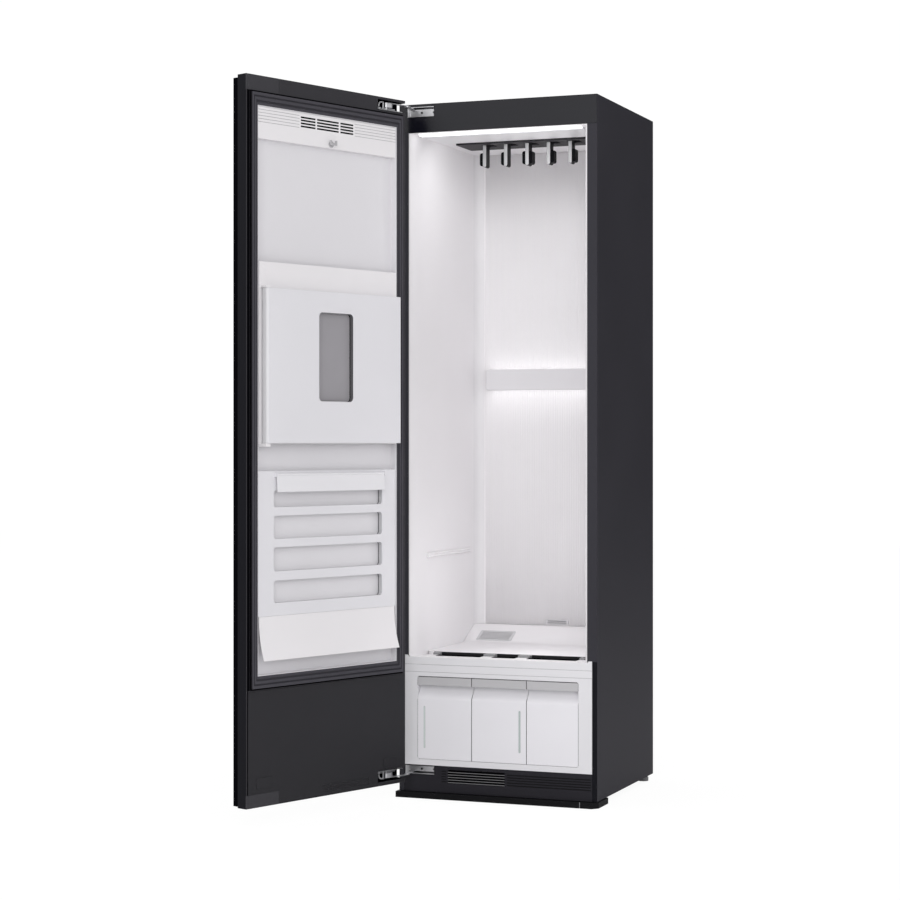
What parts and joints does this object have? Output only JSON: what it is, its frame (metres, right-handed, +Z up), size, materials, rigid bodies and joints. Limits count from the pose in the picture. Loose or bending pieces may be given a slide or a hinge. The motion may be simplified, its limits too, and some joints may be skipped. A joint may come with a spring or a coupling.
{
  "type": "clothes care steam cabinet",
  "caption": "Tall free-standing cabinet that steams and dries hanging clothes, with a side-hung door carrying a trouser press and rack, hanger hooks, and water tanks under the chamber.",
  "frame": {"origin": "on the floor at mid-width, in the plane of the cabinet front", "axes": "+X right seen from the front, +Y from the front to the back, +Z up"},
  "size_m": [0.7983, 1.1637, 1.96],
  "materials": {
    "shell_dark": "satin",
    "header_dark": "satin",
    "black_plastic": "matte",
    "foot_black": "matte",
    "foot_grey": "matte",
    "white_plastic": "satin",
    "white_liner": "satin",
    "light_grey": "satin",
    "mid_grey": "satin",
    "lamp_white": "frosted, lit",
    "brushed_panel": "brushed",
    "chrome": "polished",
    "galvanised": "plain",
    "door_dark": "satin",
    "front_glass": "dark back-painted",
    "seal_grey": "soft",
    "gauge_clear": "smoked",
    "machine_black": "painted",
    "fins": "plain",
    "motor_grey": "plain"
  },
  "bodies": {
    "cabinet": {"side_panel_left": "shell_dark", "side_panel_right": "shell_dark", "top_cover": "shell_dark", "rear_cover": "galvanised", "front_header": "header_dark", "base_pan": "galvanised", "chamber_liner": "white_liner", "fluted_back_panel": "white_liner", "back_light_bar": "light_grey", "back_light_strips": "lamp_white", "ceiling_lamp": "lamp_white", "ceiling_panel": "brushed_panel", "hanger_track_cover": "black_plastic", "shelf_rail_left": "white_liner", "shelf_rail_right": "white_liner", "chamber_floor": "white_liner", "steam_vent_grille": "light_grey", "rear_air_vent": "light_grey", "front_air_slot": "black_plastic", "tank_bay": "white_plastic", "kick_grille": "black_plastic", "front_foot_bar": "foot_black", "hinge_bracket_upper": "chrome", "hinge_bracket_lower": "chrome", "compressor": "machine_black", "heat_exchanger": "fins", "blower_housing": "motor_grey", "steam_generator": "fins", "water_pumps": "motor_grey", "control_box": "white_plastic", "hanger_drive": "galvanised"},
    "door": {"door_frame": "door_dark", "door_glass": "front_glass", "door_corner_caps": "black_plastic", "door_gasket": "seal_grey", "door_liner": "white_liner", "door_duct_cover": "white_liner", "trouser_peg": "white_plastic", "press_backing_plate": "white_liner", "trouser_rack": "white_liner", "drip_guide": "white_liner", "door_lower_panel": "door_dark", "door_panel_plugs": "door_dark", "hinge_plates": "chrome"},
    "press": {"press_panel": "white_plastic", "press_window": "light_grey"},
    "flap": {"rack_flap": "white_plastic"},
    "arms": {"hinge_arms": "chrome"},
    "links": {"hinge_links": "chrome"},
    "supply": {"supply_tank": "white_plastic", "supply_tank_window": "gauge_clear"},
    "drain": {"drain_tank": "white_plastic", "drain_tank_window": "gauge_clear"},
    "drawer": {"filter_drawer": "white_plastic", "lint_filter": "mid_grey"},
    "hanger": {"hanger_bar": "light_grey", "hook_pads": "black_plastic"},
    "blower": {"blower_wheel": "black_plastic"},
    "foot_l": {"foot_left": "foot_grey"},
    "foot_r": {"foot_right": "foot_grey"}
  },
  "joints": [
    {"name": "door_swing", "type": "hinge", "parent": "cabinet", "child": "door", "pos_m": [-0.293, -0.059, 0], "axis": [0, 0, 1], "range_deg": [0, 110.7]},
    {"name": "hinge_crank", "type": "hinge", "parent": "cabinet", "child": "arms", "pos_m": [-0.258, 0.01, 0], "axis": [0, 0, 1], "range_deg": [0, 110.7]},
    {"name": "hinge_link", "type": "hinge", "parent": "arms", "child": "links", "pos_m": [-0.24961, -0.04983, 0], "axis": [0, 0, 1], "range_deg": [-110.7, 0]},
    {"name": "press_swing", "type": "hinge", "parent": "door", "child": "press", "pos_m": [-0.4185, -0.5835, 1.2], "axis": [0, 0, 1], "range_deg": [-95, 0]},
    {"name": "flap_tilt", "type": "hinge", "parent": "door", "child": "flap", "pos_m": [-0.34418, -0.35288, 0.919], "axis": [0.3535, 0.9354, 0], "range_deg": [-50, 0]},
    {"name": "supply_slide", "type": "slide", "parent": "cabinet", "child": "supply", "axis": [0, 1, 0], "range_m": [-0.13, 0]},
    {"name": "drain_slide", "type": "slide", "parent": "cabinet", "child": "drain", "axis": [0, 1, 0], "range_m": [-0.13, 0]},
    {"name": "drawer_slide", "type": "slide", "parent": "cabinet", "child": "drawer", "axis": [0, 1, 0], "range_m": [-0.13, 0]},
    {"name": "hanger_shake", "type": "slide", "parent": "cabinet", "child": "hanger", "axis": [1, 0, 0], "range_m": [0, 0.02]},
    {"name": "blower_spin", "type": "hinge", "parent": "cabinet", "child": "blower", "pos_m": [0.175, 0.29, 0.23], "axis": [0, 1, 0], "continuous": true},
    {"name": "foot_l_turn", "type": "hinge", "parent": "cabinet", "child": "foot_l", "pos_m": [-0.272, 0.508, 0], "axis": [0, 0, 1], "continuous": true},
    {"name": "foot_r_turn", "type": "hinge", "parent": "cabinet", "child": "foot_r", "pos_m": [0.272, 0.508, 0], "axis": [0, 0, 1], "continuous": true}
  ],
  "couplings": [
    {"joint": "hinge_crank", "follows": "door_swing", "ratio": 1},
    {"joint": "hinge_link", "follows": "door_swing", "ratio": -1}
  ]
}
